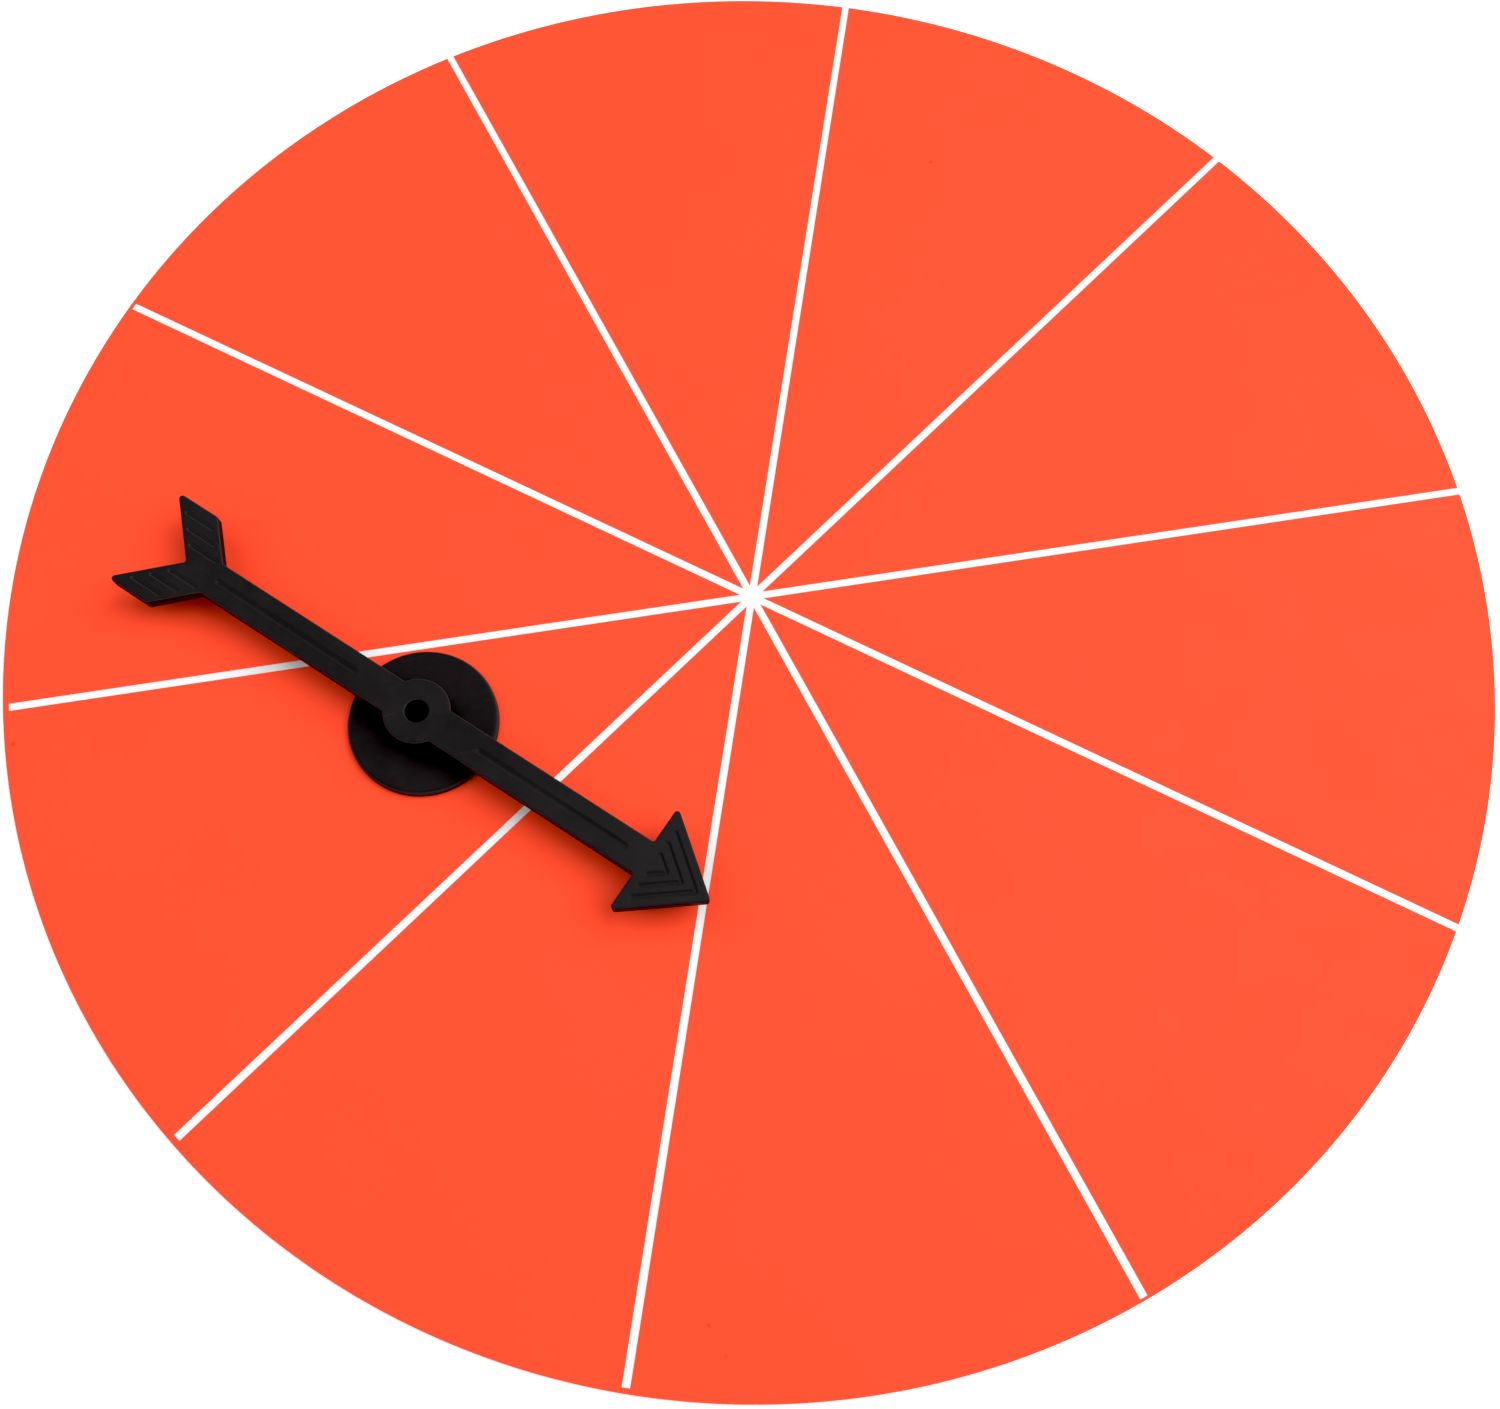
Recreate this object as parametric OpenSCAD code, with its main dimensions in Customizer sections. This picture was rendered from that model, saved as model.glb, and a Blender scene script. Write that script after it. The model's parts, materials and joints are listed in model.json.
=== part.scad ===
// Game spinner. A thin round magnetic wheel is printed in equal sectors, and a plastic arrow
// turns on a small magnetic base that sticks anywhere on it. Millimetres, +Z up. The origin is
// under the wheel's centre, on its back, and +Y runs along one of the printed lines.

/* [Wheel] */
// Diameter of the wheel
wheel_d = 300; // [260:5:400]
// Thickness of the flexible magnet sheet
sheet_t = 0.5; // [0.4:0.05:1.5]
// Thickness of the glue between the magnet sheet and the film
glue_t = 0.05; // [0.05:0.01:0.1]
// Thickness of the white face film
film_t = 0.15; // [0.1:0.01:0.3]
// Thickness of the printed red layer
print_t = 0.05; // [0.05:0.01:0.1]

/* [Print] */
// Number of sectors, one bare line between each pair
sectors = 10; // [4:1:16]
// Width of the bare lines
line_w = 1.5; // [0.8:0.1:3]
// How far inside the wheel's edge the lines are meant to stop
line_margin = 0.4; // [0.2:0.1:5]
// How far the print sits off the wheel's centre, to the right and away
print_shift = 0.6; // [0:0.1:0.8]
// How far the meeting point of the lines sits to the left of the wheel's centre
meet_shift = 0.85; // [0:0.05:1]

/* [Base] */
// Diameter of the base
base_d = 29.5; // [28:0.1:40]
// Thickness of the base's flat part
base_t = 2; // [2:0.1:3]
// Rounding of the base's top edge
base_round = 0.9; // [0.3:0.1:1]
// Base centre, to the right of the wheel's centre
pivot_x = -60.6; // [-80:0.1:50]
// Base centre, beyond the wheel's centre
pivot_y = -36.4; // [-50:0.1:50]
// Diameter of the base's magnet
magnet_d = 24.8; // [20:0.1:25]
// Thickness of the base's magnet
magnet_t = 1.1; // [0.8:0.1:1.1]

/* [Arrow] */
// Length from the pivot to the tip
tip_len = 67.1; // [60:0.1:80]
// Length from the pivot to the ends of the tail fins
tail_len = 67.4; // [64:0.1:80]
// Width of the shaft
shaft_w = 7.2; // [5:0.1:9]
// Width across the head's barbs
head_w = 23.6; // [18:0.1:28]
// Width across the tail fins
tail_w = 22; // [18:0.1:28]
// Thickness of the arrow
arrow_t = 3; // [2:0.1:4]
// Height of the arrow's top above the wheel's face
arrow_top = 8.8; // [8.5:0.1:12]
// Diameter of the hub
hub_d = 13.1; // [12:0.1:16]
// Direction of the arrow at rest, counter-clockwise from +X
arrow_angle = -24.45; // [-180:0.05:180]

/* [Arrow grooves] */
// Width of the grooves in the head and the fins
groove_w = 1.1; // [0.5:0.1:1.4]
// Width of the groove along each half of the shaft
shaft_groove_w = 1.5; // [0.5:0.1:2]
// Depth of the grooves
groove_depth = 0.4; // [0.2:0.05:0.8]

/* [Pivot] */
// Radius of the pin
pin_r = 1.55; // [1.4:0.05:1.7]
// Radial clearance of the hub's bore on the pin
running_gap = 0.05; // [0.03:0.01:0.08]
// Radius of the pin's snap head
snap_r = 2.05; // [1.95:0.05:2.1]
// Radius of the open hole in the hub's top
hole_r = 2.25; // [2.2:0.05:2.5]

/* [Hidden] */
$fn = 96;

// Wheel
wheel_r = wheel_d / 2;
film_z = sheet_t + glue_t;
print_z = film_z + film_t;
face_z = print_z + print_t;
first_line = 90;
print_centre = print_shift * [1, 1];
meeting_point = [-meet_shift, meet_shift * 0.4];

// Base, with heights above the wheel's face
base_r = base_d / 2;
magnet_r = magnet_d / 2;
magnet_gap = 0.05;
tape_t = 0.1;
recess_r = magnet_r + 0.1;
recess_h = magnet_gap + magnet_t + tape_t;
flange_r = 4;
flange_t = 0.45;
pocket_r = flange_r + 0.1;
pocket_h = recess_h + 0.05 + flange_t;
boss_r = 5.2;
boss_top = base_t + 0.4;
boss_hole_r = pin_r + 0.03;
bottom_chamfer = 0.2;
washer_t = 0.3;
washer_r = 4.2;
washer_hole_r = pin_r + 0.15;

// Arrow, with heights above the wheel's face
collar_r = 4.6;
collar_bottom = boss_top + washer_t + 0.1;
plate_bottom = arrow_top - arrow_t;
bore_r = pin_r + running_gap;
bearing_len = 2;
ledge_z = collar_bottom + bearing_len;
snap_z = ledge_z + 0.15;
snap_land = 0.2;
snap_h = 0.95;
snap_tip_r = 1.3;
slot_w = 0.7;
slot_bottom = collar_bottom + 0.6;
slot_angle = 35;

// Arrow outline, along +X from the pivot
barb_x = tip_len - 14.7;
notch_depth = tail_w / 2;
notch_x = notch_depth - tail_len;
fin_front_x = notch_x - 0.9;
fin_root_x = fin_front_x + (tail_w - shaft_w) / 2;
sharp_r = 0.7;
blunt_r = 0.5;
arc_steps = 6;
tip_slack = 0.45;
head_half_angle = atan2(head_w / 2, tip_len + tip_slack - barb_x);

// Grooves
shaft_groove_start = 14.8;
shaft_groove_end = 48.2;
chevron_x = barb_x + 2.3;
chevron_pitch = 3.25;
chevron_margin = 3.65;
fin_groove_y = 3.2;
fin_groove_pitch = 2.55;
fin_groove_margin = 1.6;

over = 1;
red = [0.98, 0.28, 0.17];
white = [0.97, 0.97, 0.97];
black = [0.1, 0.09, 0.1];
ferrite = [0.2, 0.17, 0.15];
glue_grey = [0.8, 0.79, 0.74];
nylon = [0.88, 0.87, 0.83];

function dir(angle) = [cos(angle), sin(angle)];
function unit(v) = v / norm(v);
function mirrored(points) = [for (i = [len(points) - 1:-1:0]) [points[i].x, -points[i].y, points[i].z]];

// Points of an arc about centre c, from angle a to angle b
function arc(c, r, a, b) = [for (i = [0:arc_steps]) c + r * dir(a + (b - a) * i / arc_steps)];

// The arc of radius r that rounds corner q of an outline coming from p and going on to s
function rounded_corner(p, q, s, r) =
    let (
        u = unit(p - q),
        v = unit(s - q),
        half = acos(u * v) / 2,
        c = q + unit(u + v) * r / sin(half),
        start = q + u * r / tan(half) - c,
        turn = (u.x * v.y - u.y * v.x > 0 ? -1 : 1) * (180 - 2 * half),
        a = atan2(start.y, start.x)
    )
    arc(c, r, a, a + turn);

// A closed outline from corners [x, y, rounding radius]
function rounded_outline(corners) = [
    for (i = [0:len(corners) - 1])
        let (n = len(corners), p = corners[(i + n - 1) % n], q = corners[i], s = corners[(i + 1) % n])
            each rounded_corner([p.x, p.y], [q.x, q.y], [s.x, s.y], q.z)
];

// Upper half of the arrow, from its tip back to the tail's notch
half_corners = [
    [barb_x, head_w / 2, sharp_r],
    [barb_x, shaft_w / 2, blunt_r],
    [fin_root_x, shaft_w / 2, blunt_r],
    [fin_front_x, tail_w / 2, blunt_r],
    [-tail_len, tail_w / 2, sharp_r]
];
tip_corner = [[tip_len + tip_slack, 0, sharp_r]];
notch_corner = [[notch_x, 0, blunt_r]];
arrow_outline = rounded_outline(concat(tip_corner, half_corners, notch_corner, mirrored(half_corners)));

// How far from the wheel's centre a line at this angle ends. One that would stop very close to
// the edge runs out over it.
function line_reach(angle) =
    let (reach = wheel_r - line_margin + print_centre * dir(angle))
        reach > wheel_r - line_margin ? wheel_r + over : reach;

module ring_profile(points) {
    rotate_extrude() polygon(points);
}

module on_base() {
    translate([pivot_x, pivot_y, face_z]) children();
}

module on_arrow() {
    on_base() rotate(arrow_angle) children();
}

module printed_line(angle) {
    length = line_reach(angle) - meeting_point * dir(angle);
    translate([meeting_point.x, meeting_point.y, -over])
        rotate(angle)
            translate([0, -line_w / 2, 0])
                cube([length, line_w, print_t + 2 * over]);
}

module magnet_sheet() {
    color(ferrite) cylinder(r = wheel_r, h = sheet_t);
}

module adhesive_film() {
    color(glue_grey) translate([0, 0, sheet_t]) cylinder(r = wheel_r, h = glue_t);
}

module white_film() {
    color(white) translate([0, 0, film_z]) cylinder(r = wheel_r, h = film_t);
}

module red_print() {
    color(red)
        translate([0, 0, print_z])
            difference() {
                cylinder(r = wheel_r, h = print_t);
                for (i = [0:sectors - 1]) printed_line(first_line - i * 360 / sectors);
            }
}

module base_housing() {
    top_edge = arc([base_r - base_round, base_t - base_round], base_round, 0, 90);
    color(black)
        on_base()
            ring_profile(concat(
                [
                    [boss_hole_r, pocket_h],
                    [pocket_r, pocket_h],
                    [pocket_r, recess_h],
                    [recess_r, recess_h],
                    [recess_r, 0],
                    [base_r - bottom_chamfer, 0],
                    [base_r, bottom_chamfer]
                ],
                top_edge,
                [
                    [boss_r, base_t],
                    [boss_r, boss_top],
                    [boss_hole_r, boss_top]
                ]
            ));
}

module base_magnet() {
    color(ferrite)
        on_base()
            translate([0, 0, magnet_gap])
                cylinder(r = magnet_r, h = magnet_t);
}

module magnet_tape() {
    color(glue_grey)
        on_base()
            translate([0, 0, magnet_gap + magnet_t])
                cylinder(r = magnet_r, h = tape_t);
}

module pivot_pin() {
    color(black)
        on_base()
            difference() {
                ring_profile([
                    [0, pocket_h - flange_t],
                    [flange_r, pocket_h - flange_t],
                    [flange_r, pocket_h],
                    [pin_r, pocket_h],
                    [pin_r, snap_z],
                    [snap_r, snap_z],
                    [snap_r, snap_z + snap_land],
                    [snap_tip_r, snap_z + snap_h],
                    [0, snap_z + snap_h]
                ]);
                rotate(slot_angle)
                    translate([-snap_r - over, -slot_w / 2, slot_bottom])
                        cube([2 * (snap_r + over), slot_w, snap_z + snap_h]);
            }
}

module thrust_washer() {
    color(nylon)
        on_base()
            ring_profile([
                [washer_hole_r, boss_top],
                [washer_r, boss_top],
                [washer_r, boss_top + washer_t],
                [washer_hole_r, boss_top + washer_t]
            ]);
}

// The cutter of one groove: an outline sunk from the arrow's top face
module groove(outline) {
    translate([0, 0, arrow_top - groove_depth])
        linear_extrude(groove_depth + over)
            polygon(outline);
}

module shaft_groove() {
    groove([
        [shaft_groove_start, -shaft_groove_w / 2],
        [shaft_groove_end, -shaft_groove_w / 2],
        [shaft_groove_end, shaft_groove_w / 2],
        [shaft_groove_start, shaft_groove_w / 2]
    ]);
}

// A chevron parallel to the head's edges, cut off square with the head's back
module chevron(apex_x) {
    half = groove_w / 2 / sin(head_half_angle);
    outer = apex_x + half;
    inner = apex_x - half;
    slope = tan(head_half_angle);
    groove([
        [chevron_x, (outer - chevron_x) * slope],
        [chevron_x, max(inner - chevron_x, 0) * slope],
        [inner, 0],
        [chevron_x, -max(inner - chevron_x, 0) * slope],
        [chevron_x, -(outer - chevron_x) * slope],
        [outer, 0]
    ]);
}

// A fin groove along the arrow, its ends slanted as the fin's own edges
module fin_groove(y) {
    rear = notch_x + fin_groove_margin;
    front = fin_root_x + shaft_w / 2 - fin_groove_margin;
    low = y - groove_w / 2;
    high = y + groove_w / 2;
    groove([
        [rear - low, low],
        [front - low, low],
        [front - high, high],
        [rear - high, high]
    ]);
}

module arrow() {
    color(black)
        on_arrow()
            difference() {
                union() {
                    translate([0, 0, plate_bottom]) linear_extrude(arrow_t) polygon(arrow_outline);
                    translate([0, 0, plate_bottom]) cylinder(d = hub_d, h = arrow_t);
                    translate([0, 0, collar_bottom])
                        cylinder(r = collar_r, h = arrow_top - collar_bottom);
                }
                translate([0, 0, collar_bottom - over]) cylinder(r = bore_r, h = arrow_top);
                translate([0, 0, ledge_z]) cylinder(r = hole_r, h = arrow_top);
                for (turn = [0, 180]) rotate(turn) shaft_groove();
                for (i = [0:2]) chevron(tip_len - chevron_margin + sharp_r - i * chevron_pitch);
                for (side = [0, 1], i = [0:2])
                    mirror([0, side, 0]) fin_groove(fin_groove_y + i * fin_groove_pitch);
            }
}

magnet_sheet();
adhesive_film();
white_film();
red_print();
base_housing();
base_magnet();
magnet_tape();
pivot_pin();
thrust_washer();
arrow();
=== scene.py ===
import json
import math

import bmesh
import bpy
from mathutils import Matrix, Vector
from mathutils.geometry import delaunay_2d_cdt


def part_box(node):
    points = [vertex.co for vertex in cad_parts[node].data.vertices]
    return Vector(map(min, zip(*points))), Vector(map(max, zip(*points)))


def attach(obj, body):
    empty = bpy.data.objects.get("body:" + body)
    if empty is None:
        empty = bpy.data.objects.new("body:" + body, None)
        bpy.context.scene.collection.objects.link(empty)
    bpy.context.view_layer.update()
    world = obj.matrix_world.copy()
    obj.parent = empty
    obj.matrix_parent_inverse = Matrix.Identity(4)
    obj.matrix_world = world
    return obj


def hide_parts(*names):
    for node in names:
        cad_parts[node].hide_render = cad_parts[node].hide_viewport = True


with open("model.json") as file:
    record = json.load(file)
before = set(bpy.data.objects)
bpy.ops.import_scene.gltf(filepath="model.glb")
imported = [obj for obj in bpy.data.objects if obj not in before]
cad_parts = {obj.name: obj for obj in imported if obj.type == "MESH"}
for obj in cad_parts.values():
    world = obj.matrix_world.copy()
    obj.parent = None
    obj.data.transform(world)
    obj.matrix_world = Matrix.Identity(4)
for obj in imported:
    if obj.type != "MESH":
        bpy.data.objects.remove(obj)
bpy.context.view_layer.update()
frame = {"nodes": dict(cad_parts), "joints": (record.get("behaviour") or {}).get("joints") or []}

# Lengths below are millimetres; MM turns them into Blender's metres.
MM = 0.001

# The wheel's layers, from the frame
WHEEL_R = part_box("magnet_sheet")[1].x / MM
SHEET_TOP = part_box("magnet_sheet")[1].z / MM
FILM_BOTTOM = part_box("white_film")[0].z / MM
PRINT_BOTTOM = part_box("red_print")[0].z / MM
FACE_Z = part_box("red_print")[1].z / MM

# The pivot and the heights of what turns on it, from the frame
SPIN = next(joint for joint in frame["joints"] if joint["name"] == "arrow_spin")
PIVOT = Vector(SPIN["pos_m"]) / MM
COLLAR_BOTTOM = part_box("arrow")[0].z / MM
ARROW_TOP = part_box("arrow")[1].z / MM
BASE_R = (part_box("base_housing")[1].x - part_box("base_housing")[0].x) / 2 / MM
BOSS_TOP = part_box("base_housing")[1].z / MM
MAGNET_R = (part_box("base_magnet")[1].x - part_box("base_magnet")[0].x) / 2 / MM
MAGNET_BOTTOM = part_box("base_magnet")[0].z / MM
MAGNET_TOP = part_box("base_magnet")[1].z / MM
TAPE_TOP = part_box("magnet_tape")[1].z / MM

# The print: ten bare lines from a point near the centre
SECTORS = 10
LINE_W = 1.5
LINE_MARGIN = 0.4
PRINT_SHIFT = 0.6
MEETING_POINT = Vector((-0.85, 0.34))
FIRST_LINE = 90
RIM_STEPS = 720

# The base housing, above the wheel's face
BASE_T = 2.0
BASE_ROUND = 0.9
BOSS_R = 5.2
BOSS_HOLE_R = 1.58
POCKET_R = 4.1
POCKET_H = 1.75
MAGNET_GAP = 0.1
EASED = 0.15

# The arrow, along +X from the pivot
ARROW_ANGLE = math.radians(-24.45)
ARROW_T = 3.0
TIP_X = 67.55
BARB_X = 52.4
HEAD_W = 23.6
SHAFT_W = 7.2
TAIL_X = -67.4
TAIL_W = 22.0
NOTCH_X = TAIL_X + TAIL_W / 2
FIN_FRONT_X = NOTCH_X - 0.9
FIN_ROOT_X = FIN_FRONT_X + (TAIL_W - SHAFT_W) / 2
SHARP_R = 0.7
BLUNT_R = 0.5
HUB_R = 6.55
HOLE_R = 2.25
LEDGE_ABOVE_COLLAR = 2.0
BORE_R = 1.6
COLLAR_R = 4.6
TOP_ROUND = 0.45
BOTTOM_ROUND = 0.25

# Its grooves
GROOVE_W = 1.3
SHAFT_GROOVE_W = 1.7
GROOVE_DEPTH = 0.4
GROOVE_STEPS = 12
SHAFT_GROOVE = (14.8, 48.2)
CHEVRONS = 3
CHEVRON_X = BARB_X + 2.5
CHEVRON_APEX = 64.15
CHEVRON_PITCH = 3.25
FIN_GROOVES = 3
FIN_GROOVE_Y = 3.2
FIN_GROOVE_PITCH = 2.55
FIN_GROOVE_MARGIN = 1.9

LATHE_STEPS = 128
ARC_STEP = math.radians(9)


# Outlines

def polar(radius, angle):
    return Vector((radius * math.cos(angle), radius * math.sin(angle)))


def arc(centre, radius, start, turn):
    """Points on an arc, a few degrees apart."""
    steps = max(2, round(abs(turn) / ARC_STEP))
    return [Vector(centre) + polar(radius, start + turn * i / steps) for i in range(steps + 1)]


def rounded_corner(before, corner, after, radius):
    """The arc that rounds one corner of an outline, or the corner itself."""
    if radius == 0:
        return [corner]
    u = (before - corner).normalized()
    v = (after - corner).normalized()
    half = math.acos(max(-1, min(1, u.dot(v)))) / 2
    centre = corner + (u + v).normalized() * radius / math.sin(half)
    start = corner + u * radius / math.tan(half) - centre
    side = -1 if u.cross(v) > 0 else 1
    return arc(centre, radius, math.atan2(start.y, start.x), side * (math.pi - 2 * half))


def rounded(corners, closed=True):
    """An outline from corners (x, y, rounding radius)."""
    points = [Vector(c[:2]) for c in corners]
    out = []
    for i, corner in enumerate(corners):
        if not closed and i in (0, len(corners) - 1):
            out.append(points[i])
        else:
            out += rounded_corner(points[i - 1], points[i], points[(i + 1) % len(points)], corner[2])
    return out


def inset(outline, distance):
    """A counter-clockwise outline moved inwards by a small distance."""
    out = []
    for i, point in enumerate(outline):
        a = (point - outline[i - 1]).normalized()
        b = (outline[(i + 1) % len(outline)] - point).normalized()
        inward = Vector((-a.y - b.y, a.x + b.x))
        inward.normalize()
        out.append(point + inward * distance / max(0.5, inward.dot(Vector((-a.y, a.x)))))
    return out


def circle(centre, radius, steps=LATHE_STEPS):
    return [Vector(centre) + polar(radius, 2 * math.pi * i / steps) for i in range(steps)]


def inside(point, outline):
    """Whether a point lies in an outline, by counting crossings."""
    odd = False
    for i, b in enumerate(outline):
        a = outline[i - 1]
        if (a.y > point.y) != (b.y > point.y):
            if point.x < a.x + (point.y - a.y) * (b.x - a.x) / (b.y - a.y):
                odd = not odd
    return odd


def flat_region(loops, wanted):
    """Triangles of the plane cut along every loop, where wanted(centre) is true."""
    points = []
    edges = []
    for loop in loops:
        first = len(points)
        points += loop
        edges += [(first + i, first + (i + 1) % len(loop)) for i in range(len(loop))]
    cut, _, triangles, *_ = delaunay_2d_cdt(points, edges, [], 0, 1e-5)
    kept = [t for t in triangles if wanted(sum((cut[i] for i in t), Vector((0, 0))) / 3)]
    return cut, kept


# Meshes

# How Blender's weighted normals mark a face that leads its neighbours' shading
FACE_STRENGTH = "__mod_weightednormals_faceweight"
STRONG = 16384


class Shell:
    """Collects the faces of one piece in millimetres, in its own frame, and makes the piece."""

    def __init__(self):
        self.mesh = bmesh.new()
        self.strength = self.mesh.faces.layers.int.new(FACE_STRENGTH)

    def ring(self, outline, z):
        return [self.mesh.verts.new((p.x, p.y, z)) for p in outline]

    def bridge(self, lower, upper):
        for i in range(len(lower)):
            j = (i + 1) % len(lower)
            self.mesh.faces.new((lower[i], lower[j], upper[j], upper[i]))

    def stack(self, levels):
        """Joins rings (outline, z), each to the next."""
        rings = [self.ring(outline, z) for outline, z in levels]
        for lower, upper in zip(rings, rings[1:]):
            self.bridge(lower, upper)
        return rings

    def close(self, ring):
        self.mesh.faces.new(ring)

    def flat(self, loops, z, wanted):
        """A flat face between loops, as triangles."""
        points, triangles = flat_region(loops, wanted)
        verts = [self.mesh.verts.new((p.x, p.y, z)) for p in points]
        for triangle in triangles:
            self.mesh.faces.new([verts[i] for i in triangle])[self.strength] = STRONG

    def lathe(self, profile, closed=True, steps=LATHE_STEPS):
        """A profile of (radius, height) turned about the axis."""
        rings = []
        for radius, z in profile:
            if radius == 0:
                rings.append([self.mesh.verts.new((0, 0, z))] * steps)
            else:
                rings.append(self.ring(circle((0, 0), radius, steps), z))
        pairs = list(zip(rings, rings[1:])) + ([(rings[-1], rings[0])] if closed else [])
        for a, b in pairs:
            for i in range(steps):
                j = (i + 1) % steps
                corners = list(dict.fromkeys((a[i], a[j], b[j], b[i])))
                if len(corners) > 2:
                    self.mesh.faces.new(corners)

    def piece(self, name, body, slot, finish, stands_for, place=Matrix(), sharp_deg=35):
        """The finished object, riding on its body in place of a CAD node."""
        loose = [v for v in self.mesh.verts if not v.link_faces]
        bmesh.ops.delete(self.mesh, geom=loose, context="VERTS")
        bmesh.ops.remove_doubles(self.mesh, verts=self.mesh.verts, dist=1e-4)
        bmesh.ops.recalc_face_normals(self.mesh, faces=self.mesh.faces)
        bmesh.ops.transform(self.mesh, matrix=Matrix.Scale(MM, 4) @ place, verts=self.mesh.verts)
        for face in self.mesh.faces:
            face.smooth = True
        for edge in self.mesh.edges:
            edge.smooth = edge.calc_face_angle(math.pi) < math.radians(sharp_deg)
        data = bpy.data.meshes.new(name)
        self.mesh.to_mesh(data)
        self.mesh.free()
        data.materials.append(finish)
        piece = bpy.data.objects.new(name, data)
        bpy.context.scene.collection.objects.link(piece)
        weighted = piece.modifiers.new("weighted_normals", "WEIGHTED_NORMAL")
        weighted.keep_sharp = True
        weighted.use_face_influence = True
        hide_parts(stands_for)
        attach(piece, body)
        return piece


# Materials

class Finish:
    """A node material around one Principled shader, its textures laid out in the piece's own space."""

    def __init__(self, name, colour, roughness, specular=0.5):
        self.material = bpy.data.materials.new(name)
        self.material.use_nodes = True
        self.tree = self.material.node_tree
        self.shader = self.tree.nodes["Principled BSDF"]
        self.shader.inputs["Base Color"].default_value = (*colour, 1)
        self.shader.inputs["Roughness"].default_value = roughness
        self.shader.inputs["Specular IOR Level"].default_value = specular
        self.colour = (*colour, 1)
        place = self.node("ShaderNodeTexCoord")
        self.space = place.outputs["Object"]
        self.facing = place.outputs["Normal"]
        self.bump_out = None

    def node(self, kind, **settings):
        node = self.tree.nodes.new(kind)
        for key, value in settings.items():
            setattr(node, key, value)
        return node

    def join(self, source, target):
        self.tree.links.new(source, target)

    def maths(self, operation, a, b=None):
        node = self.node("ShaderNodeMath", operation=operation)
        for socket, value in zip(node.inputs, (a, b)):
            if isinstance(value, (int, float)):
                socket.default_value = value
            elif value is not None:
                self.join(value, socket)
        return node.outputs[0]

    def remap(self, value, low, high, to_low=0.0, to_high=1.0, smooth=False):
        node = self.node("ShaderNodeMapRange", interpolation_type="SMOOTHSTEP" if smooth else "LINEAR")
        node.inputs["From Min"].default_value = low
        node.inputs["From Max"].default_value = high
        node.inputs["To Min"].default_value = to_low
        node.inputs["To Max"].default_value = to_high
        self.join(value, node.inputs["Value"])
        return node.outputs["Result"]

    def stretched(self, scale, turn_deg=0.0):
        """The piece's space, turned about Z and then scaled along its axes."""
        turned = self.node("ShaderNodeMapping", vector_type="POINT")
        turned.inputs["Rotation"].default_value = (0, 0, math.radians(turn_deg))
        self.join(self.space, turned.inputs["Vector"])
        scaled = self.node("ShaderNodeVectorMath", operation="MULTIPLY")
        scaled.inputs[1].default_value = scale
        self.join(turned.outputs["Vector"], scaled.inputs[0])
        return scaled.outputs["Vector"]

    def noise(self, size_mm, detail=2.0, space=None):
        """Noise whose features are about size_mm across."""
        node = self.node("ShaderNodeTexNoise")
        node.inputs["Scale"].default_value = 1 / (size_mm * MM)
        node.inputs["Detail"].default_value = detail
        self.join(space or self.space, node.inputs["Vector"])
        return node.outputs["Fac"]

    def tint(self, mask, colour):
        """Mixes a second colour into the base colour where mask is 1."""
        mix = self.node("ShaderNodeMix", data_type="RGBA")
        mix.inputs[6].default_value = self.colour
        base = self.shader.inputs["Base Color"]
        if base.links:
            self.join(base.links[0].from_socket, mix.inputs[6])
        mix.inputs[7].default_value = (*colour, 1)
        self.join(mask, mix.inputs[0])
        self.join(mix.outputs[2], base)

    def rough(self, value):
        self.join(value, self.shader.inputs["Roughness"])

    def bump(self, height, depth_mm, strength=1.0):
        """Adds relief: a height of 1 stands depth_mm proud."""
        node = self.node("ShaderNodeBump")
        node.inputs["Strength"].default_value = strength
        node.inputs["Distance"].default_value = depth_mm * MM
        self.join(height, node.inputs["Height"])
        if self.bump_out is not None:
            self.join(self.bump_out, node.inputs["Normal"])
        self.bump_out = node.outputs["Normal"]
        self.join(self.bump_out, self.shader.inputs["Normal"])

    def spot(self, centre_mm, radius_mm):
        """1 in a small soft round spot, 0 outside it."""
        away = self.node("ShaderNodeVectorMath", operation="DISTANCE")
        self.join(self.space, away.inputs[0])
        away.inputs[1].default_value = (centre_mm[0] * MM, centre_mm[1] * MM, FACE_Z * MM)
        return self.remap(away.outputs["Value"], 0, radius_mm * MM, 1, 0, smooth=True)


# Painted highlights on the rounded edges go by the height of the surface normal: how fast they fade in, and where
# they fade out on top
EDGE_HIGHLIGHT_RISE = 0.3
EDGE_HIGHLIGHT_FADE = (0.6, 0.9)
EDGE_HIGHLIGHT_LIGHTER = 2.4
SCUFF_LIGHTER = 2


def painted_edge_highlight(finish, steepest):
    """1 along the rounded top edges, down to the steepest slope: a painted highlight where the surface turns
    over.
    """
    apart = finish.node("ShaderNodeSeparateXYZ")
    finish.join(finish.facing, apart.inputs[0])
    rising = finish.remap(apart.outputs["Z"], steepest, steepest + EDGE_HIGHLIGHT_RISE, 0, 1)
    falling = finish.remap(apart.outputs["Z"], *EDGE_HIGHLIGHT_FADE, 1, 0)
    return finish.maths("MULTIPLY", rising, falling)


# Small marks on the face: (x, y, radius)
PINHOLES = [(23.5, 110.6, 0.7), (-138.7, -52.6, 0.8), (11.8, -137.0, 0.5), (15.6, -141.5, 0.4)]
DENT_CENTRE = (-56.0, 92.6)
DENT_R = 3.2
DENT_RIDGE_W = 0.45
DENT_FADE = (0.2, 1.6)


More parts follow.
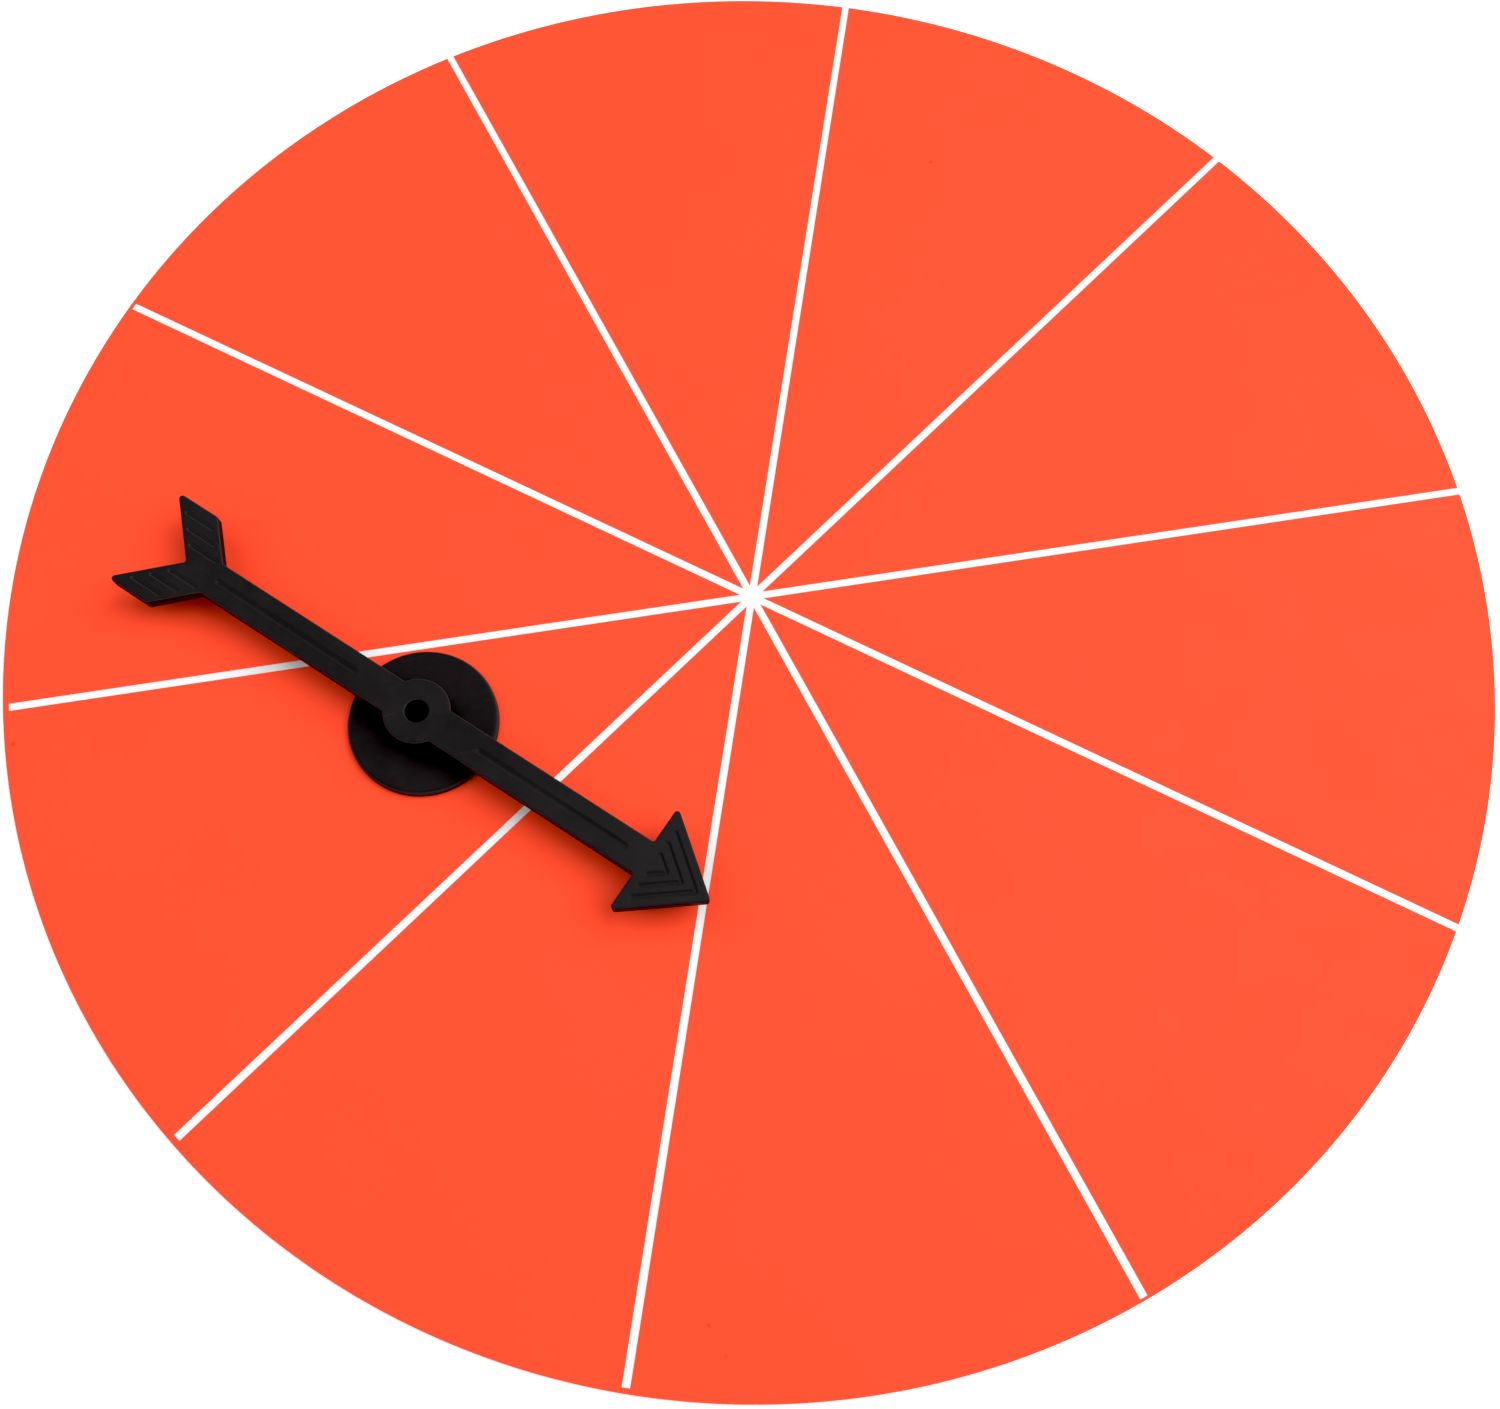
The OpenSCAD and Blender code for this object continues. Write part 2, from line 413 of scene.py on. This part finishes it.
def red_print_finish():
    """Satin orange-red ink on vinyl, with a faint mottle, a few pinholes and one crescent dent."""
    red = Finish("red_print_ink", (0.965, 0.0774, 0.0354), 0.55, 0.05)
    mottle = red.remap(red.noise(38, 3), 0.35, 0.65, 0.0, 1.0, smooth=True)
    red.tint(red.maths("MULTIPLY", mottle, 0.5), (0.945, 0.0746, 0.034))
    grain = red.noise(0.5, 2)
    red.tint(red.remap(grain, 0.3, 0.75, 0.0, 0.35), (0.915, 0.074, 0.034))
    for x, y, radius in PINHOLES:
        red.tint(red.maths("MULTIPLY", red.spot((x, y), radius), 0.55), (0.4, 0.028, 0.016))
    red.rough(red.remap(red.noise(14, 4), 0.3, 0.7, 0.5, 0.6))
    red.bump(red.noise(55, 1), 0.03, 0.4)
    red.bump(grain, 0.004, 0.5)
    red.bump(dent(red), 0.05, 0.9)
    return red.material


def dent(finish):
    """The ridge of a thumbnail-like crescent: a thin ring, kept on its near side only."""
    away = finish.node("ShaderNodeVectorMath", operation="DISTANCE")
    finish.join(finish.space, away.inputs[0])
    away.inputs[1].default_value = (DENT_CENTRE[0] * MM, DENT_CENTRE[1] * MM, FACE_Z * MM)
    off_ring = finish.maths("ABSOLUTE", finish.maths("SUBTRACT", away.outputs["Value"], DENT_R * MM))
    ridge = finish.remap(off_ring, 0, DENT_RIDGE_W * MM, 1, 0, smooth=True)
    apart = finish.node("ShaderNodeSeparateXYZ")
    finish.join(finish.space, apart.inputs[0])
    near = (DENT_CENTRE[1] - DENT_R) * MM
    full, gone = (near + distance * MM for distance in DENT_FADE)
    side = finish.remap(apart.outputs["Y"], full, gone, 1, 0, smooth=True)
    return finish.maths("MULTIPLY", ridge, side)


def white_film_finish():
    """Satin white vinyl."""
    white = Finish("white_vinyl_film", (0.75, 0.745, 0.75), 0.45, 0.2)
    white.tint(white.remap(white.noise(12, 3), 0.4, 0.7, 0, 0.5), (0.72, 0.715, 0.715))
    white.rough(white.remap(white.noise(9, 4), 0.3, 0.7, 0.4, 0.52))
    white.bump(white.noise(0.5, 2), 0.004, 0.5)
    return white.material


def magnet_sheet_finish():
    """Ferrite-filled rubber: dull dark brown, with the fine lines of its rolling and magnetising."""
    sheet = Finish("ferrite_rubber", (0.030, 0.024, 0.020), 0.62, 0.3)
    sheet.tint(sheet.remap(sheet.noise(24, 4), 0.38, 0.68, 0, 0.7, smooth=True), (0.042, 0.035, 0.030))
    sheet.tint(sheet.remap(sheet.noise(0.35, 1), 0.62, 0.74, 0, 0.8), (0.09, 0.08, 0.07))
    bands = sheet.node("ShaderNodeTexWave", wave_type="BANDS", bands_direction="X", wave_profile="SIN")
    bands.inputs["Scale"].default_value = 1 / (9.5 * MM)
    bands.inputs["Distortion"].default_value = 0.3
    bands.inputs["Detail"].default_value = 1
    sheet.join(sheet.space, bands.inputs["Vector"])
    drawn = sheet.noise(1.0, 3, sheet.stretched((1, 0.02, 1)))
    sheet.rough(sheet.remap(drawn, 0.3, 0.7, 0.5, 0.72))
    sheet.bump(bands.outputs["Fac"], 0.012, 0.6)
    sheet.bump(drawn, 0.012, 0.5)
    sheet.bump(sheet.noise(0.3, 2), 0.01, 0.6)
    return sheet.material


def moulded_black(name, colour, light, roughness, specular, steepest=0.2):
    """Fine spark-eroded black plastic with dusty, handled patches, a painted highlight along its rounded edges
    and light scuffs.
    """
    black = Finish(name, colour, roughness, specular)
    black.tint(black.remap(black.noise(6.5, 4), 0.38, 0.66, 0, 0.75, smooth=True), light)
    black.tint(black.remap(black.noise(1.3, 3), 0.5, 0.72, 0, 0.45), light)
    # Painted highlight: the rounded edges are lightened by how their surface faces up.
    black.tint(painted_edge_highlight(black, steepest), tuple(EDGE_HIGHLIGHT_LIGHTER * channel for channel in light))
    scuffs = black.noise(0.8, 2, black.stretched((1, 0.06, 1), 62))
    faint = black.remap(scuffs, 0.68, 0.8, 0, 0.25)
    black.tint(faint, tuple(SCUFF_LIGHTER * channel for channel in light))
    worn = black.remap(black.noise(5, 4), 0.3, 0.7, roughness - 0.07, roughness + 0.07)
    black.rough(black.maths("SUBTRACT", worn, black.maths("MULTIPLY", faint, 0.15)))
    black.bump(black.noise(0.28, 2), 0.016, 0.6)
    black.bump(black.noise(1.6, 2), 0.012, 0.4)
    return black


# Along the wheel's X: where the arrow starts to turn paler, where it is palest, and how strongly
PALER_FROM = -45
PALER_TO = -5
PALER_BY = 0.7


def arrow_finish():
    """The arrow's plastic, a little paler towards its head."""
    black = moulded_black("arrow_black", (0.0147, 0.0136, 0.0141), (0.0186, 0.0172, 0.0179), 0.55, 0.06)
    apart = black.node("ShaderNodeSeparateXYZ")
    black.join(black.space, apart.inputs[0])
    towards_head = black.remap(apart.outputs["X"], PALER_FROM * MM, PALER_TO * MM, 0, PALER_BY, smooth=True)
    black.tint(towards_head, (0.0206, 0.019, 0.0198))
    return black.material


def magnet_finish():
    """A sintered disc magnet: dark grey, fine grained, with pale dust in its grain."""
    grey = Finish("base_magnet_ferrite", (0.045, 0.043, 0.042), 0.5, 0.4)
    grey.tint(grey.remap(grey.noise(3.2, 4), 0.4, 0.66, 0, 0.7), (0.07, 0.068, 0.066))
    grey.tint(grey.remap(grey.noise(0.25, 1), 0.62, 0.72, 0, 0.7), (0.13, 0.13, 0.13))
    rings = grey.noise(0.7, 3, grey.stretched((1, 0.05, 1), 20))
    grey.rough(grey.remap(rings, 0.3, 0.7, 0.38, 0.6))
    grey.bump(grey.noise(0.22, 2), 0.012, 0.6)
    return grey.material


def glue_finish(name):
    """Dried acrylic glue, slightly yellow."""
    glue = Finish(name, (0.62, 0.6, 0.52), 0.35, 0.4)
    glue.tint(glue.remap(glue.noise(2.5, 3), 0.4, 0.65, 0, 0.7), (0.5, 0.48, 0.4))
    glue.bump(glue.noise(0.8, 2), 0.02, 0.5)
    return glue.material


def nylon_finish():
    """Natural nylon, turned: fine rings and a little black dust."""
    nylon = Finish("washer_nylon", (0.72, 0.7, 0.63), 0.45, 0.4)
    nylon.tint(nylon.remap(nylon.noise(1.4, 3), 0.45, 0.7, 0, 0.5), (0.55, 0.53, 0.48))
    nylon.bump(nylon.noise(0.4, 2), 0.012, 0.5)
    return nylon.material


# The wheel

def line_end(angle):
    """How far from the wheel's centre a printed line ends. One that stops very near the edge runs out over it."""
    reach = WHEEL_R - LINE_MARGIN + Vector((PRINT_SHIFT, PRINT_SHIFT)).dot(polar(1, angle))
    return WHEEL_R + 1 if reach > WHEEL_R - LINE_MARGIN else reach


def printed_line(angle):
    """The four corners of one bare line."""
    along = polar(1, angle)
    across = Vector((-along.y, along.x)) * LINE_W / 2
    far = MEETING_POINT + along * (line_end(angle) - MEETING_POINT.dot(along))
    return [MEETING_POINT - across, far - across, far + across, MEETING_POINT + across]


def layer_disc(name, low, high, edge, slot, finish):
    """One round layer of the wheel, its die-cut edge slightly rounded."""
    shell = Shell()
    profile = rounded([(0, low, 0), (WHEEL_R, low, edge), (WHEEL_R, high, edge), (0, high, 0)], closed=False)
    shell.lathe([(p.x, p.y) for p in profile], closed=False, steps=RIM_STEPS)
    return shell.piece(name + "_layer", "wheel", slot, finish, name, sharp_deg=50)


def build_red_print():
    """The red layer: a disc cut into sectors by the bare lines."""
    rim = circle((0, 0), WHEEL_R, RIM_STEPS)
    lines = [printed_line(math.radians(FIRST_LINE - i * 360 / SECTORS)) for i in range(SECTORS)]

    def is_red(point):
        return point.length < WHEEL_R and not any(inside(point, line) for line in lines)

    shell = Shell()
    points, triangles = flat_region([rim] + lines, is_red)
    top = [shell.mesh.verts.new((p.x, p.y, FACE_Z)) for p in points]
    bottom = [shell.mesh.verts.new((p.x, p.y, PRINT_BOTTOM)) for p in points]
    sides = {}
    for triangle in triangles:
        shell.mesh.faces.new([top[i] for i in triangle])
        shell.mesh.faces.new([bottom[i] for i in reversed(triangle)])
        for a, b in zip(triangle, (*triangle[1:], triangle[0])):
            sides[frozenset((a, b))] = None if frozenset((a, b)) in sides else (a, b)
    for a, b in filter(None, sides.values()):
        shell.mesh.faces.new((top[b], top[a], bottom[a], bottom[b]))
    return shell.piece("red_print_sectors", "wheel", "red_ink", red_print_finish(), "red_print")


# The base

def build_base_housing(finish):
    """The round housing: rounded top edge, low boss, and the magnet's recess underneath."""
    floor = FACE_Z
    corners = [
        (BOSS_HOLE_R, floor + POCKET_H, 0),
        (POCKET_R, floor + POCKET_H, 0),
        (POCKET_R, TAPE_TOP, EASED / 2),
        (MAGNET_R + MAGNET_GAP, TAPE_TOP, EASED / 2),
        (MAGNET_R + MAGNET_GAP, floor, EASED),
        (BASE_R, floor, EASED),
        (BASE_R, floor + BASE_T, BASE_ROUND),
        (BOSS_R, floor + BASE_T, EASED),
        (BOSS_R, BOSS_TOP, EASED),
        (BOSS_HOLE_R, BOSS_TOP, EASED / 2),
    ]
    shell = Shell()
    shell.lathe([(p.x, p.y) for p in rounded(corners)])
    place = Matrix.Translation((PIVOT.x, PIVOT.y, 0))
    return shell.piece("base_housing_shell", "spinner_base", "base_plastic", finish, "base_housing", place)


def build_base_magnet(finish):
    """The disc magnet, its edges slightly eased."""
    corners = [
        (0, MAGNET_BOTTOM, 0),
        (MAGNET_R, MAGNET_BOTTOM, EASED),
        (MAGNET_R, MAGNET_TOP, EASED),
        (0, MAGNET_TOP, 0),
    ]
    shell = Shell()
    shell.lathe([(p.x, p.y) for p in rounded(corners, closed=False)], closed=False)
    place = Matrix.Translation((PIVOT.x, PIVOT.y, 0))
    return shell.piece("base_magnet_disc", "spinner_base", "base_ferrite", finish, "base_magnet", place)


# The arrow

def upper_half():
    """The arrow's outline from its head's barb back to the tail, above its centre line."""
    edge = SHAFT_W / 2
    blend = BLUNT_R
    fillet_x = math.sqrt((HUB_R + blend) ** 2 - (edge + blend) ** 2)
    meet = math.atan2(edge + blend, fillet_x)
    right = arc((fillet_x, edge + blend), blend, -math.pi / 2, meet - math.pi / 2)
    hub = arc((0, 0), HUB_R, meet, math.pi - 2 * meet)
    left = [Vector((-p.x, p.y)) for p in reversed(right)]
    before = [(TIP_X, 0, SHARP_R), (BARB_X, HEAD_W / 2, SHARP_R), (BARB_X, edge, BLUNT_R), (fillet_x, edge, 0)]
    after = [
        (-fillet_x, edge, 0),
        (FIN_ROOT_X, edge, BLUNT_R),
        (FIN_FRONT_X, TAIL_W / 2, BLUNT_R),
        (TAIL_X, TAIL_W / 2, SHARP_R),
        (NOTCH_X, 0, BLUNT_R),
    ]
    head = rounded(before, closed=False)[1:-1]
    tail = rounded(after, closed=False)[1:-1]
    return head + right + hub[1:-1] + left + tail


def arrow_outline():
    """The closed outline of the arrow, hub included, counter-clockwise from its tip."""
    upper = upper_half()
    lower = [Vector((p.x, -p.y)) for p in reversed(upper)]
    tip = rounded_corner(lower[-1], Vector((TIP_X, 0)), upper[0], SHARP_R)
    notch = rounded_corner(upper[-1], Vector((NOTCH_X, 0)), lower[0], BLUNT_R)
    return tip + upper + notch + lower


def groove_ring(spine, radius):
    """The outline at one distance round a spine of two or three points, counter-clockwise."""
    ahead = [(b - a).normalized() for a, b in zip(spine, spine[1:])]
    heading = [math.atan2(d.y, d.x) for d in ahead]
    ring = []
    for points, turns in ((spine, heading), (spine[::-1], [h + math.pi for h in reversed(heading)])):
        for i in range(1, len(points) - 1):
            bend = math.remainder(turns[i] - turns[i - 1], 2 * math.pi)
            if bend > 0:
                ring += arc(points[i], radius, turns[i - 1] - math.pi / 2, bend)
            else:
                middle = turns[i - 1] - math.pi / 2 + bend / 2
                ring.append(points[i] + polar(radius / math.cos(bend / 2), middle))
        ring += arc(points[-1], radius, turns[-1] - math.pi / 2, math.pi)
    return ring


def groove_levels(width):
    """The cross-section of a groove as (distance from its spine, depth): soft lips and a round floor."""
    steps = [i / GROOVE_STEPS for i in range(GROOVE_STEPS)]
    return [(width / 2 * (1 - t), GROOVE_DEPTH * math.sin(math.pi / 2 * t) ** 2) for t in steps]


def groove_spines():
    """The centre line and width of every groove."""
    spines = []
    for side in (1, -1):
        spines.append(([Vector((side * x, 0)) for x in SHAFT_GROOVE], SHAFT_GROOVE_W))
    slope = HEAD_W / 2 / (TIP_X - BARB_X)
    for i in range(CHEVRONS):
        apex = CHEVRON_APEX - i * CHEVRON_PITCH
        arm = (apex - CHEVRON_X) * slope
        spines.append(([Vector((CHEVRON_X, arm)), Vector((apex, 0)), Vector((CHEVRON_X, -arm))], GROOVE_W))
    for side in (1, -1):
        for i in range(FIN_GROOVES):
            y = FIN_GROOVE_Y + i * FIN_GROOVE_PITCH
            rear = NOTCH_X - y + FIN_GROOVE_MARGIN
            front = FIN_ROOT_X + SHAFT_W / 2 - y - FIN_GROOVE_MARGIN
            spines.append(([Vector((rear, side * y)), Vector((front, side * y))], GROOVE_W))
    return spines


def build_arrow(finish):
    """One closed moulding: rounded plate, hub with its stepped bore and collar, and sunk grooves."""
    outline = arrow_outline()
    plate_bottom = ARROW_TOP - ARROW_T
    quarter = [math.radians(t) for t in range(0, 91, 15)]
    top = [(inset(outline, TOP_ROUND * (1 - math.cos(t))), ARROW_TOP - TOP_ROUND * (1 - math.sin(t)))
           for t in quarter]
    bottom = [(inset(outline, BOTTOM_ROUND * (1 - math.cos(t))),
               plate_bottom + BOTTOM_ROUND * (1 - math.sin(t))) for t in reversed(quarter)]
    shell = Shell()
    shell.stack(bottom + top)

    hub = rounded([
        (COLLAR_R, plate_bottom, 0.0),
        (COLLAR_R, COLLAR_BOTTOM, EASED),
        (BORE_R, COLLAR_BOTTOM, EASED),
        (BORE_R, COLLAR_BOTTOM + LEDGE_ABOVE_COLLAR, 0.0),
        (HOLE_R, COLLAR_BOTTOM + LEDGE_ABOVE_COLLAR, 0.0),
        (HOLE_R, ARROW_TOP, 0.0),
    ], closed=False)
    lip = [(HOLE_R + TOP_ROUND * (1 - math.cos(t)), ARROW_TOP - TOP_ROUND * (1 - math.sin(t))) for t in quarter]
    shell.lathe([(p.x, p.y) for p in hub[:-1]] + lip, closed=False)

    hole = circle((0, 0), HOLE_R + TOP_ROUND)
    mouths = []
    for spine, width in groove_spines():
        levels = groove_levels(width)
        rings = shell.stack([(groove_ring(spine, r), ARROW_TOP - depth) for r, depth in levels])
        shell.close(rings[-1])
        mouths.append(groove_ring(spine, levels[0][0]))
    face = top[-1][0]
    shell.flat([face, hole] + mouths, ARROW_TOP,
               lambda p: inside(p, face) and p.length > HOLE_R + TOP_ROUND
               and not any(inside(p, mouth) for mouth in mouths))
    sole = bottom[0][0]
    shell.flat([sole, circle((0, 0), COLLAR_R)], plate_bottom,
               lambda p: inside(p, sole) and p.length > COLLAR_R)

    place = Matrix.Translation((PIVOT.x, PIVOT.y, 0)) @ Matrix.Rotation(ARROW_ANGLE, 4, "Z")
    return shell.piece("arrow_moulding", "arrow", "arrow_plastic", finish, "arrow", place, sharp_deg=40)


# CAD nodes that keep their own shape

CAD_EASED = 0.04


def refinish(node, finish):
    """Gives a CAD node its material and slightly eased edges."""
    piece = frame["nodes"][node]
    piece.data.materials.clear()
    piece.data.materials.append(finish)
    eased = piece.modifiers.new("eased_edges", "BEVEL")
    eased.width = CAD_EASED * MM
    eased.segments = 2
    eased.limit_method = "ANGLE"
    eased.angle_limit = math.radians(40)


layer_disc("magnet_sheet", 0.0, SHEET_TOP, 0.12, "magnet_rubber", magnet_sheet_finish())
layer_disc("white_film", FILM_BOTTOM, PRINT_BOTTOM, 0.03, "white_vinyl", white_film_finish())
build_red_print()
base_black = moulded_black("base_black", (0.0148, 0.0128, 0.0133), (0.0183, 0.016, 0.0165), 0.58, 0.055,
                           steepest=-0.4)
build_base_housing(base_black.material)
build_base_magnet(magnet_finish())
build_arrow(arrow_finish())
refinish("adhesive_film", glue_finish("sheet_glue"))
refinish("magnet_tape", glue_finish("tape_glue"))
refinish("thrust_washer", nylon_finish())
# The pin is coloured darker than the other black plastics: painted shade, so the hole it sits in reads as black.
pin_painted_shade_black = moulded_black("pin_painted_shade_black", (0.006, 0.0055, 0.006), (0.009, 0.0085, 0.009), 0.6, 0.03)
refinish("pivot_pin", pin_painted_shade_black.material)


# Stage, light and camera, in metres

FLOOR_HALF = 3.0
FLOOR_GAP = 0.0001
FLOOR_GLOW = 0.35
LAMP_SIZE = 1.0
# Each lamp's place and its power in watts
LAMPS = {"right_lamp": ((0.54, 0.18, 0.88), 12.3), "left_lamp": ((-0.55, 0.05, 0.88), 4.6)}
SKY_STRENGTH = 0.32

CAMERA_AT = (0.01016, -0.11609, 0.29003)
CAMERA_TILT = math.radians(17.98)
CAMERA_TURN = math.radians(4.889)
CAMERA_ROLL = math.radians(3.726)
LENS_MM = 36.74
SENSOR_MM = 36.0
NEAREST_SEEN = 0.01
BLACK_POINT = 0.015


def build_stage():
    """A pale floor under the wheel."""
    data = bpy.data.meshes.new("floor")
    corners = [(x * FLOOR_HALF, y * FLOOR_HALF, -FLOOR_GAP) for x, y in ((-1, -1), (1, -1), (1, 1), (-1, 1))]
    data.from_pydata(corners, [], [(0, 1, 2, 3)])
    floor = bpy.data.objects.new("floor", data)
    bpy.context.scene.collection.objects.link(floor)
    pale = Finish("floor_pale", (0.75, 0.75, 0.75), 0.8, 0.1)
    pale.shader.inputs["Emission Color"].default_value = (1, 1, 1, 1)
    pale.shader.inputs["Emission Strength"].default_value = FLOOR_GLOW
    floor.data.materials.append(pale.material)


def build_lights():
    """Two soft lamps high on either side, the right one stronger, under a white sky."""
    for name, (place, power) in LAMPS.items():
        data = bpy.data.lights.new(name, "AREA")
        data.shape = "DISK"
        data.size = LAMP_SIZE
        data.energy = power
        lamp = bpy.data.objects.new(name, data)
        lamp.location = place
        lamp.rotation_euler = (-Vector(place)).to_track_quat("-Z", "Y").to_euler()
        bpy.context.scene.collection.objects.link(lamp)
    sky = bpy.data.worlds.new("sky")
    sky.use_nodes = True
    sky.node_tree.nodes["Background"].inputs["Color"].default_value = (1, 1, 1, 1)
    sky.node_tree.nodes["Background"].inputs["Strength"].default_value = SKY_STRENGTH
    bpy.context.scene.world = sky


def build_camera():
    """The camera, high over the near side of the wheel."""
    data = bpy.data.cameras.new("camera")
    data.lens = LENS_MM
    data.sensor_width = SENSOR_MM
    data.clip_start = NEAREST_SEEN
    camera = bpy.data.objects.new("camera", data)
    turn = Matrix.Rotation(CAMERA_TURN, 4, "Z")
    tilt = Matrix.Rotation(CAMERA_TILT, 4, "X")
    roll = Matrix.Rotation(CAMERA_ROLL, 4, "Z")
    camera.matrix_world = Matrix.Translation(CAMERA_AT) @ turn @ tilt @ roll
    bpy.context.scene.collection.objects.link(camera)
    bpy.context.scene.camera = camera


build_stage()
build_lights()
build_camera()
view = bpy.context.scene.view_settings
view.view_transform = "Standard"
view.use_curve_mapping = True
view.curve_mapping.black_level = (BLACK_POINT, BLACK_POINT, BLACK_POINT)
view.curve_mapping.update()
